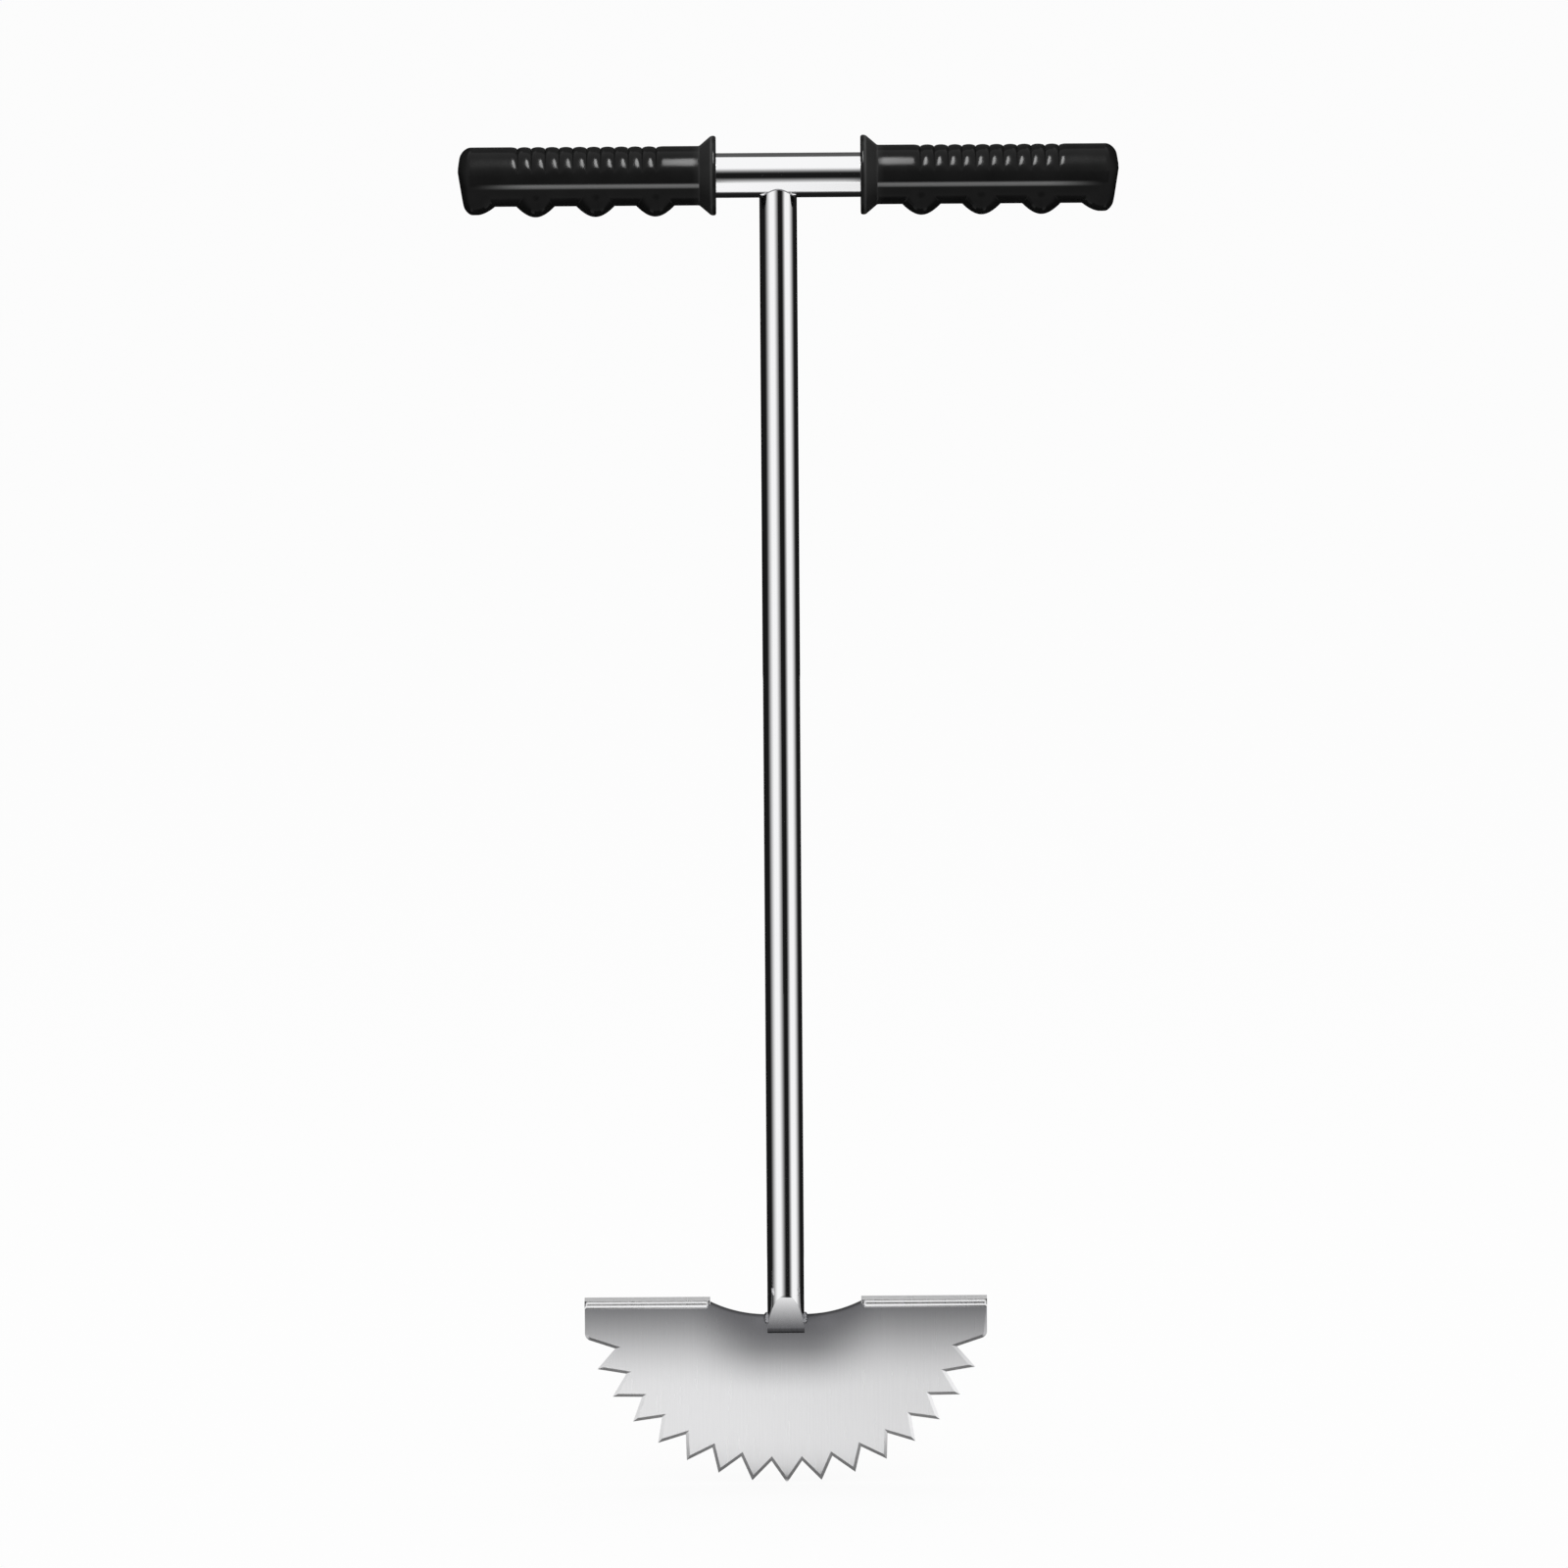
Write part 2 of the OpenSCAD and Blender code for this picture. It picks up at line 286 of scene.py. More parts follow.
@dataclass(frozen=True)
class ChromePlate:
    """Bright chrome on polished steel tube: mirror-like, with a faint polishing grain.

    The grain is drawn coarser than the real one, so that it shows. On the facets of the
    pinched foot the plating is brushed and rougher, and it is painted greyer towards the
    lips as painted shade; the lower edge is painted dark as painted shade.
    """

    bright: str = "#f6f6f7"
    painted_shade: str = "#67676a"
    edge_shade: str = "#4a4a4c"
    grain: float = 1.4 * MM
    grain_length: float = 60 * MM
    foot_low: float = 3.0 * MM
    foot_high: float = 23.5 * MM
    foot_power: float = 0.8
    edge_low: float = 2.2 * MM
    edge_high: float = 3.2 * MM
    roughness: float = 0.05
    foot_roughness: float = 0.5
    relief: float = 0.02
    relief_depth: float = 0.05 * MM

    def material(self, foot_z: float) -> Material:
        """Builds the node material.

        Args:
            foot_z: height of the shaft's lower end.

        Returns:
            The material.
        """
        material, add = new_material("chrome_plated_steel_polished")
        place = add("TexCoord").outputs["Object"]
        stretch = add("Mapping", {
            "Scale": (1 / self.grain, 1 / self.grain, 1 / self.grain_length)}, {"Vector": place})
        grain = add("TexNoise", {"Scale": 1.0, "Detail": 2.0}, {"Vector": stretch})
        height = add("SeparateXYZ", links={"Vector": place}).outputs["Z"]
        # Masks of the painted shade: greyer down the foot's facets, dark along the lower edge.
        low, edge = (
            add("MapRange", {"From Min": foot_z + top, "From Max": foot_z + bottom},
                {"Value": height})
            for bottom, top in ((self.foot_low, self.foot_high), (self.edge_low, self.edge_high)))
        quick = add("Math", {"operation": "POWER", 1: self.foot_power}, {0: low})
        pressed = add("Attribute", {"attribute_name": PRESSED_FLAT}).outputs["Fac"]
        foot = add("Math", {"operation": "MULTIPLY"}, {0: quick, 1: pressed})
        mark = add("Math", {"operation": "MULTIPLY"}, {0: foot, 1: grain})
        # Painted shade: the foot's facets greyer towards the lips, then the lower edge dark.
        colour = add("Mix", {
            "data_type": "RGBA", COLOUR_A: linear(self.bright), COLOUR_B: linear(self.painted_shade)},
            {0: foot})
        colour = add("Mix", {"data_type": "RGBA", COLOUR_B: linear(self.edge_shade)},
                     {0: edge, COLOUR_A: colour})
        rough = add("Math", {
            "operation": "MULTIPLY_ADD", 1: self.foot_roughness, 2: self.roughness}, {0: mark})
        bump = add("Bump", {"Strength": self.relief, "Distance": self.relief_depth},
                   {"Height": grain})
        surface = add("BsdfPrincipled", {"Metallic": 1.0}, {
            "Base Color": colour, "Roughness": rough, "Normal": bump})
        add("OutputMaterial", links={"Surface": surface})
        return material


@dataclass(frozen=True)
class BrushedStainless:
    """Stainless sheet brushed up and down: soft sheen with fine upright streaks.

    The streaks are drawn about 1 mm wide, coarser than the real grit, so that they show.
    Towards the folds and in a halo round the shaft's weld the sheet is painted darker as
    painted shade, and a dark line of painted shade runs along the dip's edge. Both end
    where the treads fold forward.
    """

    bright: str = "#f8f8f9"
    painted_shade: str = "#747477"
    dip_shade: str = "#48484a"
    dip_shade_width: float = 2.2 * MM
    streak: float = 1.0 * MM
    streak_length: float = 38 * MM
    streak_tones: Pair = (0.97, 1.02)
    roughness: Pair = (0.27, 0.33)
    relief: float = 0.03
    relief_depth: float = 0.05 * MM
    zone_depth: float = 54 * MM
    zone_over: float = 6 * MM
    weld_drop: float = 20 * MM
    weld_high: float = -30 * MM
    weld_low: float = -66 * MM
    weld_near: float = 10 * MM
    weld_far: float = 58 * MM
    fold_start: float = -1.2 * MM
    fold_end: float = -2.0 * MM

    def material(self, blade: "Blade") -> Material:
        """Builds the node material.

        Args:
            blade: the blade that it's for, with the sizes of its dip.

        Returns:
            The material.
        """
        material, add = new_material("stainless_steel_brushed")
        place = add("TexCoord").outputs["Object"]
        stretch = add("Mapping", {"Scale": (
            1 / self.streak, 1 / self.streak_length, 1 / self.streak_length)}, {"Vector": place})
        streaks = add("TexNoise", {"Scale": 1.0, "Detail": 3.0}, {"Vector": stretch})
        # Mask of the painted shade: darker towards the folds and in a halo round the weld.
        spot = add("VectorMath", {
            "operation": "SUBTRACT", 1: (blade.axis_x, 0.0, blade.top)}, {0: place})
        x, y, z = add("SeparateXYZ", links={"Vector": spot}).outputs
        aside = add("Math", {"operation": "ABSOLUTE"}, {0: x})
        drop = add("MapRange", {
            "interpolation_type": "SMOOTHSTEP", "From Min": self.weld_far,
            "From Max": self.weld_near, "To Max": self.weld_drop}, {"Value": aside})
        near = add("MapRange", {"From Min": self.weld_low, "From Max": self.weld_high}, {"Value": z})
        level = add("Math", {"operation": "MULTIPLY_ADD"}, {0: drop, 1: near, 2: z})
        shade_zone = add("MapRange", {
            "interpolation_type": "SMOOTHSTEP", "From Min": -self.zone_depth,
            "From Max": self.zone_over}, {"Value": level})
        upright = add("MapRange", {
            "From Min": self.fold_end, "From Max": self.fold_start}, {"Value": y})
        # Mask of the painted shade along the dip's edge.
        half = add("CombineXYZ", links={"X": aside, "Z": z})
        away = add("VectorMath", {"operation": "DISTANCE", 1: (
            blade.half_slot, 0.0, blade.dip_radius - blade.dip_depth)}, {0: half})
        rim = add("MapRange", {
            "interpolation_type": "SMOOTHSTEP", "From Min": blade.dip_radius + self.dip_shade_width,
            "From Max": blade.dip_radius}, {"Value": away})
        shade_zone, rim = (
            add("Math", {"operation": "MULTIPLY"}, {0: part, 1: upright}) for part in (shade_zone, rim))
        # Painted shade: the darker zone, then the dark line along the dip's edge.
        colour = add("Mix", {
            "data_type": "RGBA", COLOUR_A: linear(self.bright), COLOUR_B: linear(self.painted_shade)},
            {0: shade_zone})
        colour = add("Mix", {"data_type": "RGBA", COLOUR_B: linear(self.dip_shade)},
                     {0: rim, COLOUR_A: colour})
        streaked, rough = (
            add("MapRange", {**NOISE_SPAN, "To Min": low, "To Max": high}, {"Value": streaks})
            for low, high in (self.streak_tones, self.roughness))
        tone = add("VectorMath", {"operation": "SCALE"}, {0: colour, "Scale": streaked})
        bump = add("Bump", {
            "Strength": self.relief, "Distance": self.relief_depth}, {"Height": streaks})
        surface = add("BsdfPrincipled", {"Metallic": 1.0}, {
            "Base Color": tone, "Roughness": rough, "Normal": bump})
        add("OutputMaterial", links={"Surface": surface})
        return material


@dataclass(frozen=True)
class MouldedVinyl:
    """Black vinyl from a polished mould: deep black, oily soft shine and a fine grain.

    The grain is drawn coarser than the real one, so that it shows. A matt grey line is
    painted along the mould's parting bead as a painted highlight, and the rim's corners are
    painted grey as painted highlights.
    """

    black: str = "#0b0b0b"
    rubbed: str = "#141414"
    highlight_grey: str = "#5a5a5a"
    grain: float = 0.9 * MM
    cloud: float = 14 * MM
    roughness: Pair = (0.13, 0.17)
    relief: float = 0.01
    relief_depth: float = 0.1 * MM
    refraction: float = 1.52
    shine: float = 0.06

    def material(self) -> Material:
        """Builds the node material.

        Returns:
            The material.
        """
        material, add = new_material("vinyl_moulded_black")
        place = add("TexCoord").outputs["Object"]
        grain = add("TexNoise", {"Scale": 1 / self.grain, "Detail": 2.0}, {"Vector": place})
        cloud = add("TexNoise", {"Scale": 1 / self.cloud, "Detail": 3.0}, {"Vector": place})
        # Painted highlights: a grey line along the parting bead and grey at the rim's corners.
        line = add("Attribute", {"attribute_name": HIGHLIGHT_MASK}).outputs["Fac"]
        colour = add("Mix", {
            "data_type": "RGBA", COLOUR_A: linear(self.black), COLOUR_B: linear(self.rubbed)},
            {0: cloud})
        colour = add("Mix", {"data_type": "RGBA", COLOUR_B: linear(self.highlight_grey)},
                     {0: line, COLOUR_A: colour})
        low, high = self.roughness
        rough = add("MapRange", {**NOISE_SPAN, "To Min": low, "To Max": high}, {"Value": cloud})
        bump = add("Bump", {"Strength": self.relief, "Distance": self.relief_depth},
                   {"Height": grain})
        surface = add("BsdfPrincipled", {
            "IOR": self.refraction, "Specular IOR Level": self.shine}, {
            "Base Color": colour, "Roughness": rough, "Normal": bump})
        add("OutputMaterial", links={"Surface": surface})
        return material


@dataclass(frozen=True)
class WeldMetal:
    """Weld metal under thin plating: satin grey with small beads and darker specks."""

    pale: str = "#b0b0b3"
    dark: str = "#7c7c80"
    speck: float = 1.6 * MM
    roughness: Pair = (0.22, 0.4)

    def material(self) -> Material:
        """Builds the node material.

        Returns:
            The material.
        """
        material, add = new_material("weld_metal_satin")
        place = add("TexCoord").outputs["Object"]
        speck = add("TexNoise", {"Scale": 1 / self.speck, "Detail": 3.0}, {"Vector": place})
        colour = add("Mix", {
            "data_type": "RGBA", COLOUR_A: linear(self.pale), COLOUR_B: linear(self.dark)},
            {0: speck})
        low, high = self.roughness
        rough = add("MapRange", {**NOISE_SPAN, "To Min": low, "To Max": high}, {"Value": speck})
        surface = add("BsdfPrincipled", {"Metallic": 1.0}, {
            "Base Color": colour, "Roughness": rough})
        add("OutputMaterial", links={"Surface": surface})
        return material


@dataclass
class Crossbar(SubAssembly):
    """The handle's tube, which runs into both grips."""

    slot: ClassVar[Slot] = Slot.TUBE
    wall: float = 1.6 * MM
    segments: int = 192

    def __post_init__(self) -> None:
        """Takes the tube's place and size from its CAD node."""
        low, high = node_box("crossbar")
        self.left = low[0]
        self.right = high[0]
        self.radius = (high[2] - low[2]) / 2
        self.axis_z = (high[2] + low[2]) / 2

    def build(self) -> Object:
        """Turns a thin rectangle, the tube's wall, about the tube's axis.

        Returns:
            The tube.
        """
        along = np.array([self.left, self.right, self.right, self.left, self.left])[:, None]
        bore = self.radius - self.wall
        out = np.array([self.radius, self.radius, bore, bore, self.radius])[:, None]
        turn = full_turn(self.segments)[None, :]
        points = np.stack(np.broadcast_arrays(
            along, out * np.cos(turn), self.axis_z + out * np.sin(turn)), axis=-1)
        quads = grid_quads(len(along), self.segments)
        return make_piece("crossbar_tube", points, quads.tolist())


@dataclass
class Shaft(SubAssembly):
    """The upright tube: coped to the crossbar above, pinched to two lips below."""

    slot: ClassVar[Slot] = Slot.TUBE
    crossbar: Crossbar
    wall: float = 2.0 * MM
    lip_half: float = 2.55 * MM
    slot_half: float = 1.05 * MM
    lip_length: float = 10.6 * MM
    lip_flat: float = 3.0 * MM
    facet: float = 20.0 * MM
    bevel: float = 1.0 * MM
    guard: float = 1.5 * MM
    side_steps: int = 40
    slot_steps: int = 4
    facet_rows: int = 28

    def __post_init__(self) -> None:
        """Takes the tube's place and size from its CAD node."""
        low, high = node_box("shaft")
        self.radius = (high[0] - low[0]) / 2
        self.axis_x = (high[0] + low[0]) / 2
        self.foot_z = low[2]
        self.dip_z = self.foot_z + self.lip_length

    def saddle(self, across: np.ndarray) -> np.ndarray:
        """Height of the crossbar's underside at a distance across, on Y."""
        return self.crossbar.axis_z - np.sqrt(self.crossbar.radius ** 2 - across ** 2)

    def ring_angles(self, corner: np.ndarray) -> np.ndarray:
        """Angles of one side's points, from its back corner round to its front corner.

        Args:
            corner: angle of the facet's corner, one for each row.

        Returns:
            Angles by row and point; the slot's edges keep fixed places in each row.
        """
        slot = np.arcsin(self.slot_half / self.radius)
        share = np.linspace(1, 0, self.side_steps)[None, :]
        back = slot + (corner[:, None] - slot) * share
        middle = np.linspace(slot, -slot, self.slot_steps + 1)[1:-1]
        middle = np.repeat(middle[None, :], len(corner), axis=0)
        return np.hstack([back, middle, -back[:, ::-1]])

    def faces(self, rows: np.ndarray, count: int) -> list[list[int]]:
        """Numbers the faces: the rings' quads, the slot's walls and roof, and the ends.

        Args:
            rows: heights of the outer rings, which two rings of the bore follow.
            count: points in a ring.

        Returns:
            Point numbers of each face.
        """
        quads = grid_quads(len(rows) + 2, count)
        slot_row = int(np.searchsorted(rows[:-1], self.dip_z))
        first = self.side_steps - 1
        last = first + self.slot_steps
        row = quads[:, 0] // count
        column = quads[:, 0] % count
        mirrored = count - 2 - column
        in_slot = ((column >= first) & (column < last)) | ((mirrored >= first) & (mirrored < last))
        faces = quads[~(in_slot & (row < slot_row))].tolist()
        levels = np.arange(slot_row)[:, None] * count
        for near, far in ((first, count - 1 - first), (last, count - 1 - last)):
            faces += (levels + np.array([near, far, far + count, near + count])).tolist()
        roof = np.arange(first, last + 1)
        back_lip = np.arange(first + 1)
        front_lip = np.arange(last, count // 2)
        for start, right in ((slot_row * count, roof), (0, back_lip), (0, front_lip)):
            faces.append((start + np.append(right, count - 1 - right[::-1])).tolist())
        bore_end = (len(rows) + 1) * count
        faces.append((bore_end + np.arange(count)).tolist())
        return faces

    def build(self) -> Object:
        """Stacks rings that are circles cut by two facets.

        A ring's half depth grows in a straight line from the lip to the full radius, so
        the facets are flat planes, and the rows are set so that the facet's corner turns by
        even steps. The last ring follows the crossbar's underside. A guard ring near each
        end keeps the long round part's shading true.

        Returns:
            The shaft, with its bore and the slot that holds the blade.
        """
        lip_top = self.foot_z + self.lip_flat
        facet_top = lip_top + self.facet
        turned = np.linspace(np.arcsin(self.lip_half / self.radius), np.pi / 2, self.facet_rows)
        facet_z = np.interp(self.radius * np.sin(turned), [self.lip_half, self.radius],
                            [lip_top, facet_top])
        saddle_low = self.crossbar.axis_z - self.crossbar.radius
        rows = np.concatenate([
            [self.foot_z, self.foot_z + self.bevel],
            np.union1d(facet_z, [self.dip_z]),
            [facet_top + self.guard, saddle_low - self.guard, 0]])
        depth = np.interp(rows[:-1], [self.foot_z, self.foot_z + self.bevel, lip_top, facet_top],
                          [self.lip_half - self.bevel, self.lip_half, self.lip_half, self.radius])
        corner = np.append(np.arcsin(depth / self.radius), np.pi / 2)
        side = self.ring_angles(corner)
        angle = np.hstack([side, np.pi - side[:, ::-1]])
        count = angle.shape[1]
        x = self.axis_x + self.radius * np.cos(angle)
        y = self.radius * np.sin(angle)
        z = np.repeat(rows[:, None], count, axis=1)
        z[-1] = self.saddle(y[-1])
        bore = self.radius - self.wall
        bore_y = bore * np.sin(angle[-1])
        bore_x = self.axis_x + bore * np.cos(angle[-1])
        inner_top = np.column_stack([bore_x, bore_y, self.saddle(bore_y)])
        inner_low = np.column_stack([bore_x, bore_y, np.full(count, facet_top)])
        points = np.vstack([np.stack([x, y, z], axis=-1).reshape(-1, 3), inner_top, inner_low])
        pressed = np.zeros((len(rows) + 2, count))
        corners = [0, count // 2 - 1, count // 2, count - 1]
        pressed[np.ix_(np.flatnonzero(depth < self.radius - WELD_DISTANCE), corners)] = 1
        faces = self.faces(rows, count)
        return make_piece("shaft_tube", points, faces, values={PRESSED_FLAT: pressed.ravel()})


@dataclass
class Welds(SubAssembly):
    """The fillet under the crossbar and the beads beside the shaft's lips."""

    slot: ClassVar[Slot] = Slot.WELD
    shaft: Shaft
    leg: float = 0.3 * MM
    hollow: float = 0.15
    ripple: float = 0.04 * MM
    ripple_count: int = 34
    around: int = 272
    across: int = 10
    bead_length: float = 6.5 * MM
    bead_sink: float = 1.0 * MM
    bead_along: int = 48
    bead_around: int = 32
    bead_ripples: int = 5
    bead_wave: float = 0.05
    bead_power: float = 0.6
    half_sheet: float = 1.0 * MM

    def fillet(self) -> Object:
        """Carries a small three-sided section along the saddle between the tubes.

        The open side is a hollow curve from the shaft to the crossbar, a parabola whose
        control point is near the corner, and its depth ripples like laid weld metal.

        Returns:
            The fillet.
        """
        shaft = self.shaft
        turn = full_turn(self.around)[:, None]
        share = np.linspace(0, 1, self.across)[None, :]
        wave = self.ripple * np.sin(self.ripple_count * turn)
        corner_z = shaft.saddle(shaft.radius * np.sin(turn))
        far = shaft.radius + self.leg
        far_z = shaft.saddle(far * np.sin(turn))
        low_z = corner_z - self.leg - wave
        bow = 2 * share * (1 - share)
        reach = shaft.radius + self.leg * (share ** 2 + self.hollow * bow)
        level = (low_z * (1 - share) ** 2 + bow * (corner_z - self.hollow * self.leg)
                 + far_z * share ** 2)
        reach = np.hstack([reach + 0 * turn, np.full_like(turn, shaft.radius)])
        level = np.hstack([level, corner_z])
        x = shaft.axis_x + reach * np.cos(turn)
        points = np.stack([x, reach * np.sin(turn), level], axis=-1)
        points = np.concatenate([points, points[:1]])
        return make_piece("saddle_fillet", points, grid_quads(*points.shape[:2]).tolist())

    def beads(self, node: str, name: str) -> Object:
        """Two upright rippled beads that fill the corners beside a lip.

        Each bead is a round rod whose radius follows a half ellipse along its length,
        with a few ripples, so both ends close to a point.

        Args:
            node: CAD node of the beads.
            name: name of the piece.

        Returns:
            Both beads as one piece.
        """
        low, high = node_box(node)
        half = self.bead_length / 2
        middle_z = high[2] - half - self.bead_sink
        face_y = np.sign(low[1] + high[1]) * self.half_sheet
        size = max(abs(low[1]), abs(high[1])) - abs(face_y)
        foot_x = (high[0] - low[0]) / 2 - size
        run = np.linspace(-np.pi / 2, np.pi / 2, self.bead_along)[:, None]
        turn = full_turn(self.bead_around)[None, :]
        fat = size * np.cos(run) ** self.bead_power
        fat = fat * (1 + self.bead_wave * np.cos(2 * self.bead_ripples * run) * np.cos(run))
        level = middle_z + half * np.sin(run) + 0 * turn
        y = face_y + fat * np.sin(turn)
        x = self.shaft.axis_x + fat * np.cos(turn)
        points = np.stack([np.stack([side.value * foot_x + x, y, level], axis=-1) for side in Side])
        quads = grid_quads(self.bead_along, self.bead_around)
        faces = np.vstack([quads, quads + level.size])
        return make_piece(name, points, faces.tolist())


@dataclass
class Grip(SubAssembly):
    """A moulded sleeve: rim, thumb grooves on top, finger ridges below, closed end."""

    slot: ClassVar[Slot] = Slot.GRIP
    side: Side
    crossbar: Crossbar
    rim_radius: float = 22.65 * MM
    radius: float = 16.9 * MM
    rim: float = 2.8 * MM
    cone: float = 6.7 * MM
    plain_start: float = 4 * MM
    head_rounds: tuple[float, float, float] = (1.3 * MM, 3.0 * MM, 2.0 * MM)
    end_thickness: float = 6.0 * MM
    end_round: float = 6.5 * MM
    end_slope: float = 9.0
    end_slope_up: float = 8.0
    end_peak: float = 4.0 * MM
    end_lean_run: float = 14 * MM
    low_round: float = 5.5 * MM
    play: float = 0.05 * MM
    ridge_first: float = 34.5 * MM
    ridge_pitch: float = 34.0 * MM
    ridge_count: int = 3
    ridge_width: float = 21.8 * MM
    ridge_height: float = 6.2 * MM
    end_ridge_run: float = 10.5 * MM
    end_ridge_height: float = 4.7 * MM
    ridge_power: float = 0.46
    ridge_full: float = 25.0
    ridge_reach: float = 72.0
    groove_first: float = 34.0 * MM
    groove_pitch: float = 7.86 * MM
    groove_count: int = 11
    groove_depth: float = 1.5 * MM
    groove_power: float = 0.4
    groove_reach: float = 78.0
    groove_crowding: float = 1.5
    bead_angle: float = -13.0
    bead_half: float = 1.25 * MM
    bead_height: float = 0.4 * MM
    bead_fade: Pair = (42 * MM, 7 * MM)
    rim_corner_highlight: float = 0.22
    cone_foot_highlight: float = 0.1
    highlight_half_width: float = 0.8 * MM
    around: int = 216
    groove_rows: int = 30
    plain_rows: tuple[int, int] = (18, 40)
    head_steps: int = 8
    end_rows: int = 14
    cap_rows: int = 7
    sharp: float = 40.0

    def __post_init__(self) -> None:
        """Takes the grip's place and length from its CAD node."""
        self.node = f"{self.side.name.lower()}_grip"
        low, high = node_box(self.node)
        self.length = high[0] - low[0]
        self.mouth = low[0] if self.side is Side.RIGHT else high[0]

    def profile(self, end_round: float) -> tuple[np.ndarray, np.ndarray]:
        """Outline of the round sleeve, from the socket's bottom out to the closed end.

        Rows crowd towards each groove's valley as a power of their distance from it.

        Args:
            end_round: radius of the closed end's edge.

        Returns:
            Distance from the mouth and radius of each row, and how much of the ridges,
            grooves and parting bead each row takes, from 0 to 1.
        """
        socket = self.crossbar.radius + self.play
        socket_end = self.length - self.end_thickness
        cone_end = self.rim + self.cone
        body_start = cone_end + self.plain_start
        head = rounded_path(
            np.array([[0, socket], [0, self.rim_radius], [self.rim, self.rim_radius],
                      [cone_end, self.radius], [body_start, self.radius]]),
            np.array(self.head_rounds), self.head_steps)
        bottom = np.array([[socket_end, 0], [socket_end, socket]])
        notch = self.groove_first + self.groove_pitch * np.arange(self.groove_count)
        spread = np.linspace(-1, 1, self.groove_rows, endpoint=False)
        offset = self.groove_pitch / 2 * np.sign(spread) * np.abs(spread) ** self.groove_crowding
        ribbed = (notch[:, None] + offset).ravel()
        along = np.concatenate([
            np.linspace(body_start, ribbed[0], self.plain_rows[0], endpoint=False), ribbed,
            np.linspace(notch[-1] + self.groove_pitch / 2, self.length - self.end_round,
                        self.plain_rows[1])])
        body = np.column_stack([along, np.full_like(along, self.radius)])
        bend = np.linspace(0, np.pi / 2, self.end_rows)[1:]
        end = np.column_stack([self.length - end_round * (1 - np.sin(bend)),
                               self.radius - end_round * (1 - np.cos(bend))])
        inward = np.linspace(1, 0, self.cap_rows)[1:]
        cap = np.column_stack([np.full_like(inward, self.length), end[-1, 1] * inward])
        rows = np.vstack([bottom, head, body, end, cap])
        weight = np.concatenate([
            np.zeros(2), np.where(head[:, 0] > cone_end, 1, 0), np.ones(len(body)),
            np.ones(len(end)), inward])
        return rows, weight

    def ridges(self, along: np.ndarray, down: np.ndarray) -> np.ndarray:
        """Height of the finger ridges over the round body.

        A ridge is a disc set below the axis, whose radius swells along the grip as a
        power of a cosine; the height is how far the disc's edge passes the body, and it
        fades out below the parting bead.

        Args:
            along: distance from the mouth, by row.
            down: angle from straight down, by column.

        Returns:
            Heights by row and column.
        """
        crest = self.ridge_first + self.ridge_pitch * np.arange(self.ridge_count)
        phase = (along[:, None] - crest) / self.ridge_width
        swell = np.where(np.abs(phase) < 0.5, (1 + np.cos(2 * np.pi * phase)) / 2, 0).sum(axis=1)
        end_crest = self.length - self.end_ridge_run
        rise = np.clip((along - end_crest) / self.end_ridge_run, -1, 0)
        end_swell = (1 + np.cos(np.pi * rise)) / 2
        heights = []
        for bump, height in ((swell, self.ridge_height), (end_swell, self.end_ridge_height)):
            disc = self.radius - height + height * bump[:, None] ** self.ridge_power
            inside = np.clip(disc ** 2 - (height * np.sin(down)) ** 2, 0, None)
            heights.append(height * np.cos(down) + np.sqrt(inside) - self.radius)
        reach, full = np.cos(np.radians([self.ridge_reach, self.ridge_full]))
        return np.clip(np.maximum(*heights), 0, None) * smooth_step(reach, full, np.cos(down))

    def grooves(self, along: np.ndarray, up: np.ndarray) -> np.ndarray:
        """Depth of the thumb grooves: sharp valleys between round-backed ribs.

        Along the grip the depth is one less a power of a rectified sine; round the grip
        it falls off as the cosine of the angle from the top.

        Args:
            along: distance from the mouth, by row.
            up: angle from straight up, by column.

        Returns:
            Depths by row and column.
        """
        count = (along - self.groove_first) / self.groove_pitch
        rib = np.abs(np.sin(np.pi * count)) ** self.groove_power
        valley = np.where((count > -0.5) & (count < self.groove_count - 0.5), 1 - rib, 0)
        limit = np.cos(np.radians(self.groove_reach))
        fade = np.clip((np.cos(up) - limit) / (1 - limit), 0, 1)
        return self.groove_depth * valley[:, None] * fade

    def bead(self, along: np.ndarray, turn: np.ndarray) -> np.ndarray:
        """Share of the mould's parting bead, a flat-topped bell on the front and the back.

        Args:
            along: distance from the mouth, by row.
            turn: angle round the axis from the back, by column.

        Returns:
            Shares of the bead's height by row and column, from 0 to 1.
        """
        lean = np.arcsin(np.sin(turn)) - np.radians(self.bead_angle)
        bell = np.exp(-(lean * self.radius / self.bead_half) ** 4)
        start, stop = self.length - np.array(self.bead_fade)
        fade = 1 - smooth_step(start, stop, along)
        return fade[:, None] * bell

    def rim_highlight(self, along: np.ndarray) -> np.ndarray:
        """Share of painted highlight by row: a bell at the rim's corner, one at the cone's foot."""
        marks = ((self.rim_corner_highlight, self.rim), (self.cone_foot_highlight, self.rim + self.cone))
        return sum(share * np.exp(-((along - place) / self.highlight_half_width) ** 2)
                   for share, place in marks)

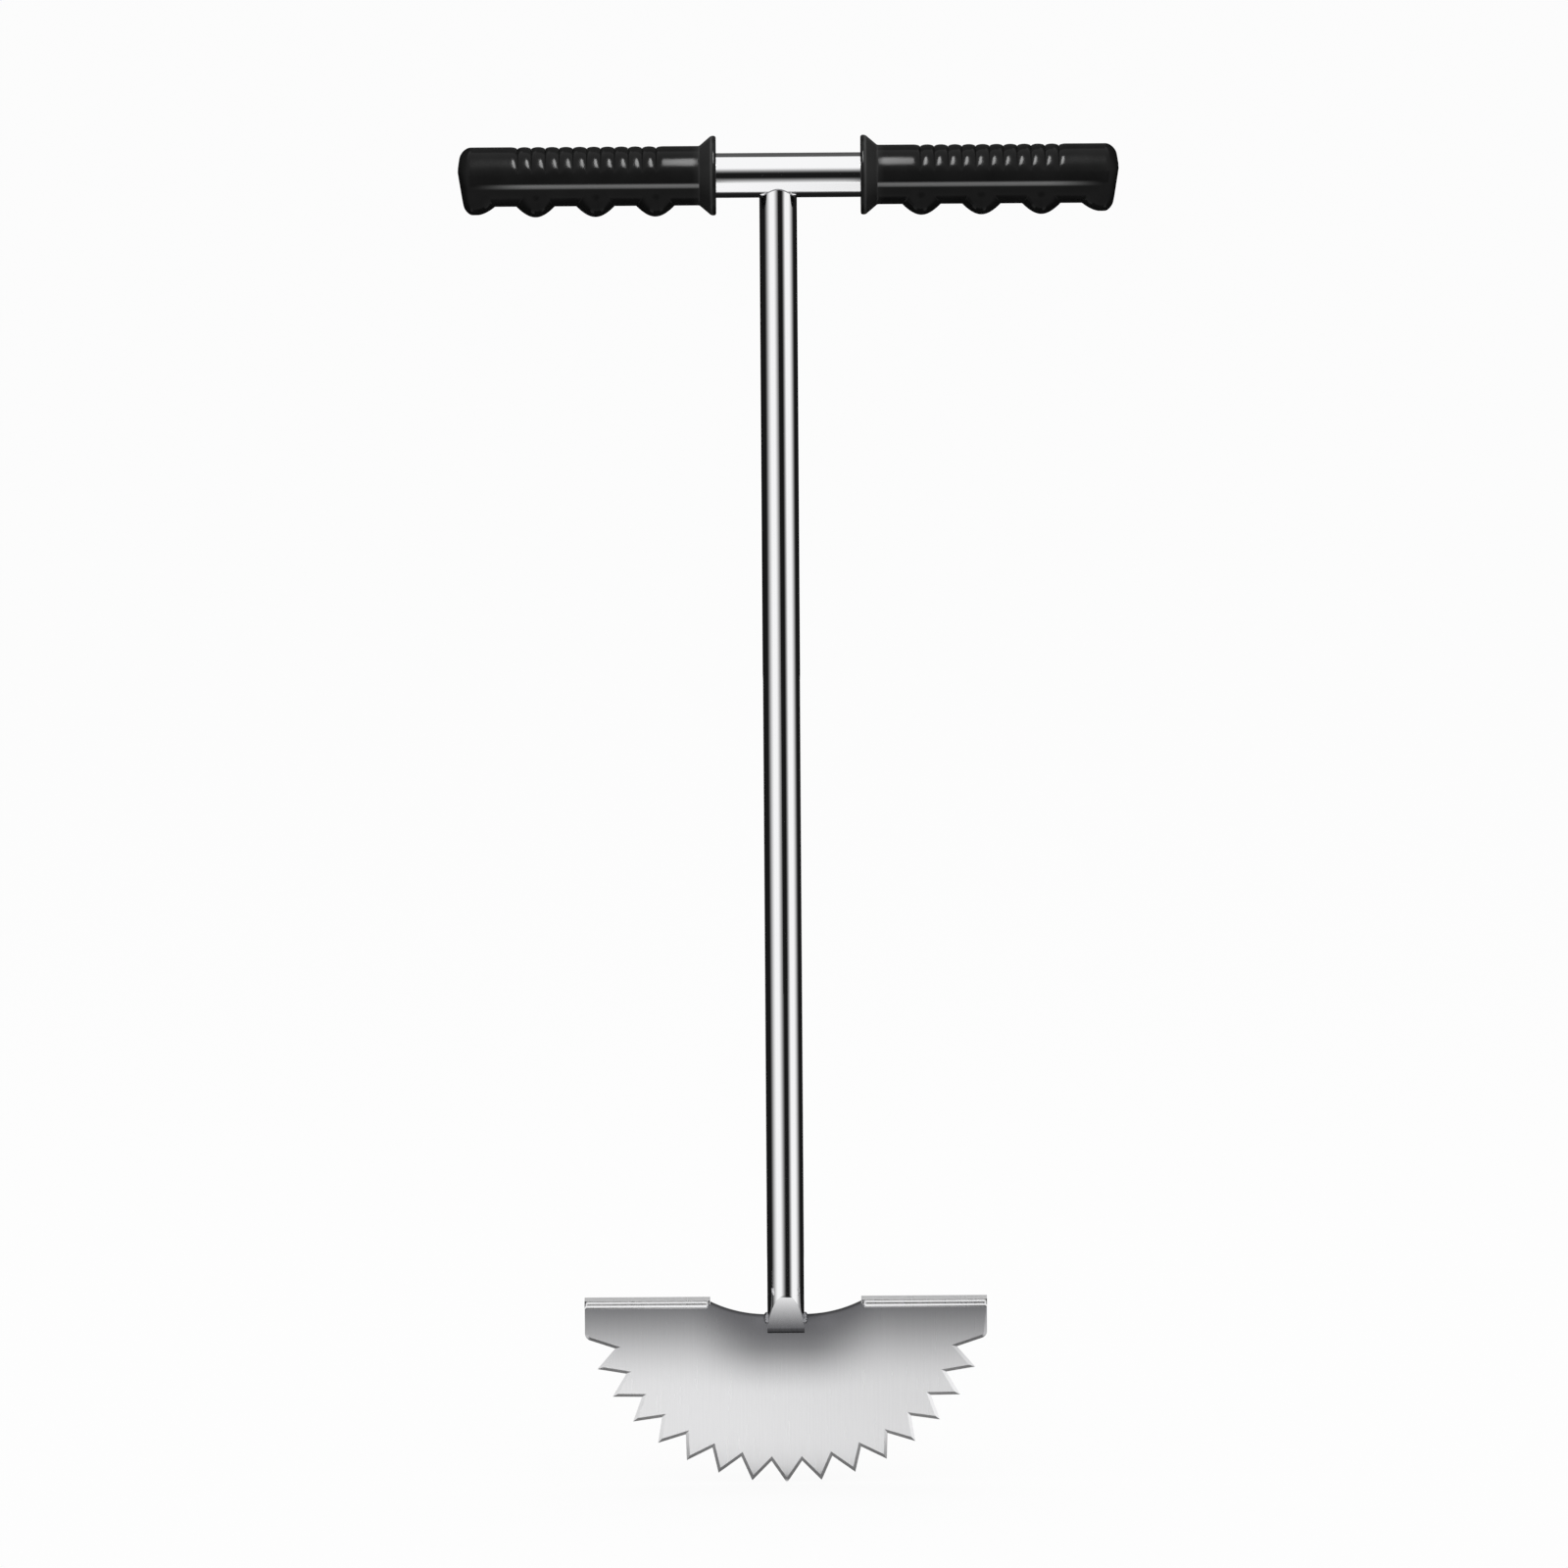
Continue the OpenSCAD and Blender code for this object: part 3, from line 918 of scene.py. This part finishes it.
    def build(self) -> Object:
        """Turns the profile about the grip's axis and adds ridges, grooves and bead.

        The closed end's edge is rounder above than below, so two profiles are mixed by the
        sine of the turn. The end leans back above and below its peak.

        Returns:
            The sleeve.
        """
        upper, weight = self.profile(self.end_round)
        lower, _ = self.profile(self.low_round)
        along = upper[:, 0]
        turn = full_turn(self.around)[None, :]
        low_share = smooth_step(0, 1, -np.sin(turn))[:, :, None]
        rows = upper[:, None] * (1 - low_share) + lower[:, None] * low_share
        bead = weight[:, None] * self.bead(along, turn)
        relief = (self.ridges(along, turn + np.pi / 2) + self.bead_height * bead
                  - self.grooves(along, turn - np.pi / 2))
        reach = rows[..., 1] + weight[:, None] * relief
        y = reach * np.cos(turn)
        z = reach * np.sin(turn)
        lean = (np.tan(np.radians(self.end_slope)) * np.clip(self.end_peak - z, 0, None)
                + np.tan(np.radians(self.end_slope_up)) * np.clip(z - self.end_peak, 0, None))
        outer = (np.arange(len(rows)) > 1)[:, None]
        pull = smooth_step(self.length - self.end_lean_run, self.length, rows[..., 0]) * outer
        x = self.mouth + self.side.value * (rows[..., 0] - lean * pull)
        points = np.stack([x, y, self.crossbar.axis_z + z], axis=-1)
        quads = grid_quads(len(rows), self.around)
        name = f"{self.node}_sleeve"
        # Shares of the painted highlights: the parting bead's line and the rim's corners.
        grey = np.maximum(bead, self.rim_highlight(along)[:, None])
        return make_piece(name, points, quads.tolist(), self.sharp, {HIGHLIGHT_MASK: grey.ravel()})


@dataclass
class Blade(SubAssembly):
    """The toothed half moon sheet with both treads folded from it."""

    slot: ClassVar[Slot] = Slot.BLADE
    axis_x: float
    half_slot: float
    tooth_count: int = 15
    tooth_pitch: float = 9.9
    tooth_height: float = 13.9 * MM
    arc_over: float = 0.5 * MM
    arc_depth: float = 102.5 * MM
    ear_height: float = 24.0 * MM
    ear_round: float = 4.0 * MM
    bend: float = 1.0 * MM
    tread_inner: float = 43.0 * MM
    inner_round: float = 2.5 * MM
    inner_sweep: float = 6.0 * MM
    outer_round: float = 1.5 * MM
    hem_radius: float = 2.3 * MM
    hem_length: float = 8.0 * MM
    hem_gap: float = 0.3 * MM
    dip_depth: float = 10.6 * MM
    dip_radius: float = 72.6 * MM
    ground: float = 1.8 * MM
    broken: float = 0.3 * MM
    steepness: float = 0.53
    bend_rows: int = 16
    nose_rows: int = 22
    flat_rows: int = 8
    dip_steps: int = 28
    inner_steps: int = 14
    outer_steps: int = 8
    ear_steps: int = 9
    sharp: float = 20.0

    def __post_init__(self) -> None:
        """Takes the sheet's width, thickness, depth and top from its CAD node."""
        low, high = node_box("blade")
        self.half_width = (high[0] - low[0]) / 2
        self.half_sheet = high[1]
        self.front = low[1]
        self.top = high[2]
        self.bend_z = self.top - 2 * self.half_sheet - self.bend
        self.bend_y = self.half_sheet + self.bend

    def moon(self, angle: np.ndarray, inset: np.ndarray) -> np.ndarray:
        """Points on the half moon: a flattened circle, drawn in by the inset.

        Args:
            angle: angle from straight down, in radians.
            inset: distance inside the tips.

        Returns:
            Places across and up, as rows.
        """
        wide = self.half_width + self.arc_over
        across = (wide - inset) * np.sin(angle)
        up = self.arc_depth - self.arc_depth * (1 - inset / wide) * np.cos(angle)
        return np.column_stack([across, up])

    def tread_columns(self) -> np.ndarray:
        """Places across the right tread, closer together in its two rounded corners.

        Returns:
            Distances from the blade's middle, in rising order.
        """
        inner = self.inner_round * (1 - np.cos(np.linspace(0, np.pi / 2, self.inner_steps)))
        outer = self.outer_round * (1 - np.cos(np.linspace(0, np.pi / 2, self.outer_steps)))
        return np.concatenate([self.tread_inner + inner, self.half_width - outer[::-1]])

    def right_edge(self) -> tuple[np.ndarray, np.ndarray]:
        """The flat sheet's right half, from the dip's middle round to the lowest tip.

        Returns:
            Places across and up, as rows, and the width of the bevel at each: wide on the
            ground teeth, narrow on the other edges and none along the fold.
        """
        dip_z = self.top - self.dip_depth
        climb = np.arccos(1 - (self.bend_z - dip_z) / self.dip_radius)
        swing = np.linspace(0, climb, self.dip_steps)
        dip = np.column_stack([self.half_slot + self.dip_radius * np.sin(swing),
                               dip_z + self.dip_radius * (1 - np.cos(swing))])
        columns = self.tread_columns()
        fold = np.column_stack([columns, np.full_like(columns, self.bend_z)])
        middle = (self.tooth_count - 1) / 2
        steps = np.linspace(self.tooth_count - 0.5, middle, self.tooth_count + 1)
        angle = np.radians((steps - middle) * self.tooth_pitch)
        inset = np.where(np.isclose(steps % 1, 0.5), self.tooth_height, 0)
        teeth = self.moon(angle, inset)
        ear = rounded_path(
            np.vstack([fold[-1], [self.half_width, self.top - self.ear_height], teeth[0]]),
            np.array([self.ear_round]), self.ear_steps)[1:-1]
        widths = ((dip, self.broken), (fold, 0.0), (ear, self.ground), (teeth, self.ground))
        return (np.vstack([dip, fold, ear, teeth]),
                np.concatenate([np.full(len(stretch), width) for stretch, width in widths]))

    def drawn_in(self, edge: np.ndarray, width: np.ndarray) -> np.ndarray:
        """Draws a clockwise outline in by a width at each point.

        A point moves by its width times the sum of its two legs' outward normals, over
        one plus the normals' dot product, which keeps both legs at that distance.

        Args:
            edge: places across and up, as rows.
            width: distance for each place.

        Returns:
            The places drawn in.
        """
        leg = np.roll(edge, -1, axis=0) - edge
        leg = leg / np.linalg.norm(leg, axis=1, keepdims=True)
        ahead = np.column_stack([-leg[:, 1], leg[:, 0]])
        back = np.roll(ahead, 1, axis=0)
        share = 1 + (ahead * back).sum(axis=1, keepdims=True)
        return edge - width[:, None] * (ahead + back) / share

    def tread(self, side: Side) -> tuple[np.ndarray, list[list[int]]]:
        """One tread as a shell that meets the flat sheet at the bend line.

        Each column's section runs up a quarter circle, level to a round nose, back under
        the hem and along the sheet's underside to the bend's inside. The nose draws back
        along a quarter ellipse at the inner end, where the hem thins to the bare sheet, and
        along a quarter circle at the outer end.

        Args:
            side: which of the two treads.

        Returns:
            Points as rows, and faces.
        """
        columns = self.tread_columns()
        inner_gap = np.clip(1 - (columns - self.tread_inner) / self.inner_round, 0, 1)
        outer_gap = np.clip(1 - (self.half_width - columns) / self.outer_round, 0, 1)
        front = (self.front + self.inner_sweep * circle_sag(inner_gap)
                 + self.outer_round * circle_sag(outer_gap))
        thin = self.hem_radius - self.half_sheet
        hem = self.hem_radius - thin * circle_sag(inner_gap)
        nose = front + hem
        hem_end = np.minimum(front + self.hem_length, -self.bend_y - self.hem_gap)
        curl = np.linspace(0, np.pi / 2, self.bend_rows)[:, None]
        share = np.linspace(0, 1, self.flat_rows)[1:-1, None]
        turn = np.linspace(0, np.pi, self.nose_rows)[:, None]
        flat = np.zeros_like(columns)[None, :]
        outside = self.bend + 2 * self.half_sheet
        y = np.vstack([
            -self.bend_y + outside * np.cos(curl) + flat,
            -self.bend_y + (nose + self.bend_y) * share,
            nose - hem * np.sin(turn),
            hem_end + flat, hem_end + flat,
            -self.bend_y + self.bend * np.cos(curl[::-1]) + flat])
        z = np.vstack([
            self.bend_z + outside * np.sin(curl) + flat,
            self.top + 0 * share + flat,
            self.top - hem * (1 - np.cos(turn)) + flat,
            self.top - 2 * hem + flat, self.top - 2 * self.half_sheet + flat,
            self.bend_z + self.bend * np.sin(curl[::-1]) + flat])
        points = np.stack([self.axis_x + side.value * columns + 0 * y, y, z], axis=-1)
        number = np.arange(y.size).reshape(y.shape)
        faces = grid_quads(*y.shape, wrap=False).tolist()
        return points.reshape(-1, 3), faces + [number[:, 0].tolist(), number[:, -1].tolist()]

    def build(self) -> Object:
        """Joins the flat sheet's two faces, their bevels, the edge between and both treads.

        Returns:
            The blade.
        """
        right, right_width = self.right_edge()
        edge = np.vstack([right, right[-2::-1] * np.array([-1, 1])])
        width = np.append(right_width, right_width[-2::-1])
        count = len(edge)
        inner = self.drawn_in(edge, width)
        face_y = np.full(count, -self.half_sheet)
        face = np.column_stack([self.axis_x + inner[:, 0], face_y, inner[:, 1]])
        rim_y = self.steepness * width - self.half_sheet
        rim = np.column_stack([self.axis_x + edge[:, 0], rim_y, edge[:, 1]])
        behind = np.array([1, -1, 1])
        parts = [face, rim, rim * behind, face * behind]
        ring = np.arange(count)
        after = (ring + 1) % count
        cut = (width > 0) | (width[after] > 0)
        band = np.column_stack([ring, after, after + count, ring + count])[cut]
        faces = [ring.tolist(), (ring + 3 * count).tolist()]
        faces += np.vstack([band, band + count, band + 2 * count]).tolist()
        for side in (Side.RIGHT, Side.LEFT):
            points, shell = self.tread(side)
            base = sum(len(part) for part in parts)
            faces += [[base + corner for corner in corners] for corners in shell]
            parts.append(points)
        piece = make_piece("half_moon_blade", np.vstack(parts), faces, self.sharp)
        keep_flat(piece)
        return piece


@dataclass
class Card:
    """A studio card that only reflections see: black inside, white at its soft borders.

    Its four numbers each way are shares of the card at which it starts to darken, is dark,
    starts to lighten and is white again.
    """

    name: str
    points: np.ndarray
    across: Fade = NO_FADE
    upward: Fade = NO_FADE
    depth: float = 0.99

    def material(self) -> Material:
        """Builds the card's glow, which is white less the depth times the four fades.

        Returns:
            The material.
        """
        material, add = new_material(f"{self.name}_card")
        place = add("UVMap", {"uv_map": "card"})
        apart = add("SeparateXYZ", links={"Vector": place})
        fades = [
            add("MapRange", {
                "interpolation_type": "SMOOTHSTEP", "From Min": white, "From Max": black},
                {"Value": apart.outputs[axis]})
            for axis, steps in (("X", self.across), ("Y", self.upward))
            for white, black in (steps[:2], steps[:1:-1])]
        dark = fades[0]
        for fade in fades[1:]:
            dark = add("Math", {"operation": "MULTIPLY"}, {0: dark, 1: fade})
        light = add("Math", {"operation": "MULTIPLY_ADD", 1: -self.depth, 2: 1.0}, {0: dark})
        glow = add("Emission", {"Color": linear("#ffffff")}, {"Strength": light})
        add("OutputMaterial", links={"Surface": glow})
        return material

    def build(self) -> Object:
        """Makes the card's grid, with a UV map that runs across and upward.

        Returns:
            The card.
        """
        rows, columns = self.points.shape[:2]
        mesh = bpy.data.meshes.new(self.name)
        mesh.from_pydata(self.points.reshape(-1, 3).tolist(), [],
                         grid_quads(rows, columns, wrap=False).tolist())
        u, v = np.meshgrid(np.linspace(0, 1, columns), np.linspace(0, 1, rows))
        corner = np.empty(len(mesh.loops), dtype=np.int32)
        mesh.loops.foreach_get("vertex_index", corner)
        layer = mesh.uv_layers.new(name="card")
        layer.data.foreach_set("uv", np.column_stack([u.ravel(), v.ravel()])[corner].ravel())
        card = bpy.data.objects.new(self.name, mesh)
        bpy.context.collection.objects.link(card)
        mesh.materials.append(self.material())
        for ray in ("camera", "diffuse", "shadow", "transmission"):
            setattr(card, f"visible_{ray}", False)
        return card


@dataclass
class Studio:
    """Camera, floor, soft light and the cards that the bright metal reflects."""

    axis_x: float
    shaft_radius: float
    bar_z: float
    target: tuple[float, float, float] = (-4.8 * MM, 0.0, 402.1 * MM)
    distance: float = 25.0
    farthest: float = 100.0
    elevation: float = 8.0
    roll: float = -0.4
    view_width: float = 891.5 * MM
    sensor: float = 36.0
    floor_side: float = 40.0
    floor_share: float = 0.88
    fill: float = 0.85
    box_elevation: float = 61.5
    box_distance: float = 1.1
    box_size: Pair = (0.16, 0.72)
    box_energy: float = 18.0
    top_place: tuple[float, float, float] = (0.0, 0.1, 2.6)
    top_size: Pair = (2.0, 2.0)
    top_energy: float = 10.0
    card_span: Pair = (-0.2, 0.2)
    front_y: float = -1.2
    bar_join: float = 0.62
    back_y: float = 0.3
    back_join: float = 0.7
    stripe_angles: Pair = (-32.0, 46.0)
    stripe_fade: Fade = (0.0, 0.439, 0.595, 1.0)
    side_radius: float = 0.42
    side_height: float = 1.2
    side_columns: int = 33
    moon_half: float = 116 * MM
    moon_depth: float = 102.5 * MM
    moon_limit: float = 0.93
    moon_front: float = -20 * MM
    moon_back: float = 60 * MM
    moon_span: float = 160 * MM
    moon_columns: int = 45
    moon_height: float = 2 * MM

    def __post_init__(self) -> None:
        """Makes the lists of what the slim soft box and the low bar card light."""
        self.grip_light = bpy.data.collections.new("lit_grips")
        self.bar_light = bpy.data.collections.new("lit_crossbar")

    def camera(self) -> None:
        """Sets a far camera with a long lens, a little above the tool and rolled slightly."""
        lens = bpy.data.cameras.new("long_lens")
        lens.sensor_width = self.sensor
        lens.lens = self.sensor * self.distance / self.view_width
        lens.clip_end = self.farthest
        camera = bpy.data.objects.new("long_lens", lens)
        rise = np.radians(self.elevation)
        camera.location = (self.target[0], self.target[1] - self.distance * np.cos(rise),
                           self.target[2] + self.distance * np.sin(rise))
        camera.rotation_mode = "XYZ"
        camera.rotation_euler = (np.pi / 2 - rise, 0.0, 0.0)
        camera.matrix_basis @= Matrix.Rotation(np.radians(self.roll), 4, "Z")
        bpy.context.collection.objects.link(camera)
        bpy.context.scene.camera = camera

    def seen(self, add: Callable[..., Node]) -> Node:
        """Adds a value that is 1 for rays from the eye, from gloss and through glass, else 0.

        Args:
            add: add_node for the tree.

        Returns:
            The node that gives the value.
        """
        path = add("LightPath")
        eye = add("Math", {"operation": "MAXIMUM"}, {
            0: path.outputs["Is Camera Ray"], 1: path.outputs["Is Glossy Ray"]})
        return add("Math", {"operation": "MAXIMUM"}, {
            0: eye, 1: path.outputs["Is Transmission Ray"]})

    def world(self) -> None:
        """A white room for the eye and for reflections, and a softer fill for matt faces."""
        world = bpy.data.worlds.new("white_room")
        world.use_nodes = True
        world.node_tree.nodes.clear()
        add = partial(add_node, world.node_tree)
        fill, white = (add("Background", {"Color": linear("#ffffff"), "Strength": strength})
                       for strength in (self.fill, 1.0))
        mix = add("MixShader", links={0: self.seen(add), 1: fill, 2: white})
        add("OutputWorld", links={"Surface": mix})
        bpy.context.scene.world = world

    def floor(self) -> None:
        """A white paper floor that keeps a faint shadow."""
        half = self.floor_side / 2
        mesh = bpy.data.meshes.new("paper_floor")
        mesh.from_pydata([(-half, -half, 0), (half, -half, 0), (half, half, 0), (-half, half, 0)],
                         [], [(0, 1, 2, 3)])
        floor = bpy.data.objects.new("paper_floor", mesh)
        bpy.context.collection.objects.link(floor)
        material, add = new_material("paper_white_matt")
        share = add("Math", {"operation": "MULTIPLY", 1: self.floor_share}, {0: self.seen(add)})
        paper = add("BsdfDiffuse", {"Color": linear("#f4f4f4")})
        white = add("Emission", {"Color": linear("#ffffff"), "Strength": 1.0})
        mix = add("MixShader", links={0: share, 1: paper, 2: white})
        add("OutputMaterial", links={"Surface": mix})
        mesh.materials.append(material)

    def lamps(self) -> None:
        """A slim soft box high in front for the grips, and a broad one above for the rest.

        The slim one has a list of what it lights, and the broad one doesn't show in gloss.
        """
        rise = np.radians(self.box_elevation)
        front = (0.0, -self.box_distance * np.cos(rise),
                 self.bar_z + self.box_distance * np.sin(rise))
        for name, shape, place, size, energy, lit in (
                ("front_box", "ELLIPSE", front, self.box_size, self.box_energy, self.grip_light),
                ("top_box", "RECTANGLE", self.top_place, self.top_size, self.top_energy, None)):
            lamp = bpy.data.lights.new(name, "AREA")
            lamp.shape = shape
            lamp.size, lamp.size_y = size
            lamp.energy = energy
            box = bpy.data.objects.new(name, lamp)
            box.location = place
            aim = Vector((0.0, 0.0, self.bar_z)) - Vector(place)
            box.rotation_mode = "QUATERNION"
            box.rotation_quaternion = aim.to_track_quat("-Z", "Y")
            box.visible_camera = False
            box.visible_glossy = lit is not None
            box.light_linking.receiver_collection = lit
            bpy.context.collection.objects.link(box)

    def flat_card(self, name: str, x: float | tuple, y: float | tuple, z: float | tuple,
                  **fades: float | tuple) -> Object:
        """Sets a flat card that lies square to an axis.

        Args:
            name: name of the card.
            x: its left and right border.
            y: its front and back border, or its place if it stands upright.
            z: its lower and upper border, or its place if it lies flat.
            fades: the card's fades across and upward and its depth.

        Returns:
            The card.
        """
        points = np.stack(np.meshgrid(x, y, z, indexing="ij"), axis=-1).reshape(2, 2, 3)
        return Card(name, points.transpose(1, 0, 2), **fades).build()

    def front_cards(self) -> None:
        """Stands up the cards in front: two for the crossbar and two for the shaft's stripe.

        The stripe's cards span the same angles, seen in the shaft, at two distances. The low
        one of the crossbar's cards lights nothing else.
        """
        self.flat_card("bar_card", x=self.card_span, y=self.front_y, z=(self.bar_join, 2.0),
                       upward=(*DARK_START, 0.333, 1.0))
        low_bar = self.flat_card("low_bar_card", x=(-0.044, 0.044), y=self.front_y,
                                 z=(0.0, self.bar_join), upward=(-0.323, 1.129, *DARK_END))
        low_bar.light_linking.receiver_collection = self.bar_light
        angle = np.radians(self.stripe_angles)
        for name, away, height in (
                ("stripe_card", 1.25, (0.0, 1.05)), ("foot_card", 0.032, (0.09, 0.28))):
            span = (self.axis_x + self.shaft_radius * np.sin(angle / 2)
                    + (away - self.shaft_radius * np.cos(angle / 2)) * np.tan(angle))
            self.flat_card(name, x=span, y=-away, z=height, across=self.stripe_fade)

    def back_cards(self) -> None:
        """Stands up the cards behind: three for the crossbar's borders, one for the treads."""
        self.flat_card("back_card", x=self.card_span, y=self.back_y, z=(0.42, self.back_join))
        self.flat_card("high_card", x=self.card_span, y=self.back_y, z=(self.back_join, 1.6),
                       upward=(*DARK_START, 0.7, 0.8), depth=0.9)
        self.flat_card("under_card", x=self.card_span, y=0.06, z=(0.56, self.back_join))
        self.flat_card("low_back_card", x=(-0.17, 0.16), y=0.45, z=(0.06, 0.4), depth=0.5)

    def side_cards(self) -> None:
        """Stands up two cards that are bent to an arc about the shaft, for its dark sides."""
        for name, angles, across in (
                ("left_card", (-44.0, -156.0), (0.0, 0.446, *DARK_END)),
                ("right_card", (61.0, 156.0), (0.0, 0.474, *DARK_END))):
            angle, z = np.meshgrid(np.radians(np.linspace(*angles, self.side_columns)),
                                   np.array([0.0, self.side_height]))
            points = np.stack([self.axis_x + self.side_radius * np.sin(angle),
                               -self.side_radius * np.cos(angle), z], axis=-1)
            Card(name, points, across).build()

    def floor_cards(self) -> None:
        """Lays the cards on the floor: a faint shade, a dark sheet and a sheet for the teeth.

        The last one's front border is half an ellipse, the blade's own, so that every bevel
        of the teeth sees it alike.
        """
        self.flat_card("shade_card", x=(-0.05, 0.2), y=(-1.0, -0.13), z=0.5 * MM,
                       across=(0.0, 0.5, *DARK_END), depth=0.14)
        self.flat_card("floor_card", x=self.card_span, y=(-0.12, 0.3), z=1 * MM,
                       upward=(0.0, 0.52, *DARK_END), depth=0.985)
        x, share = np.meshgrid(np.linspace(-self.moon_span, self.moon_span, self.moon_columns),
                               np.array([0.0, 1.0]))
        aside = np.clip(x / self.moon_half, -self.moon_limit, self.moon_limit)
        start = self.moon_front - self.moon_depth * circle_sag(aside)
        points = np.stack([self.axis_x + x, start + (self.moon_back - start) * share,
                           np.full_like(x, self.moon_height)], axis=-1)
        Card("blade_card", points, upward=(0.0, 0.08, *DARK_END), depth=0.85).build()

    def build(self) -> None:
        """Sets the camera first, then light, floor and cards."""
        bpy.context.scene.view_settings.view_transform = "Standard"
        self.camera()
        self.world()
        self.floor()
        self.lamps()
        self.front_cards()
        self.back_cards()
        self.side_cards()
        self.floor_cards()


def main() -> None:
    """Builds the tool's pieces, dresses them and sets the studio round them."""
    logging.basicConfig(level=logging.INFO, format="%(name)s: %(message)s")
    crossbar = Crossbar()
    shaft = Shaft(crossbar)
    studio = Studio(shaft.axis_x, shaft.radius, crossbar.axis_z)
    studio.build()

    chrome = ChromePlate().material(shaft.foot_z)
    vinyl = MouldedVinyl().material()
    weld = WeldMetal().material()
    tube = crossbar.dress(crossbar.build(), chrome, "crossbar")
    studio.bar_light.objects.link(tube)
    shaft.dress(shaft.build(), chrome, "shaft")
    for side in Side:
        grip = Grip(side, crossbar)
        sleeve = grip.dress(grip.build(), vinyl, grip.node)
        studio.grip_light.objects.link(sleeve)
    blade = Blade(shaft.axis_x, shaft.radius)
    stainless = BrushedStainless().material(blade)
    blade.dress(blade.build(), stainless, "blade")
    welds = Welds(shaft)
    welds.dress(welds.fillet(), weld, "crossbar_weld")
    for node, name in (("blade_weld_front", "front_beads"), ("blade_weld_back", "back_beads")):
        welds.dress(welds.beads(node, name), weld, node)


if __name__ == "__main__":
    main()
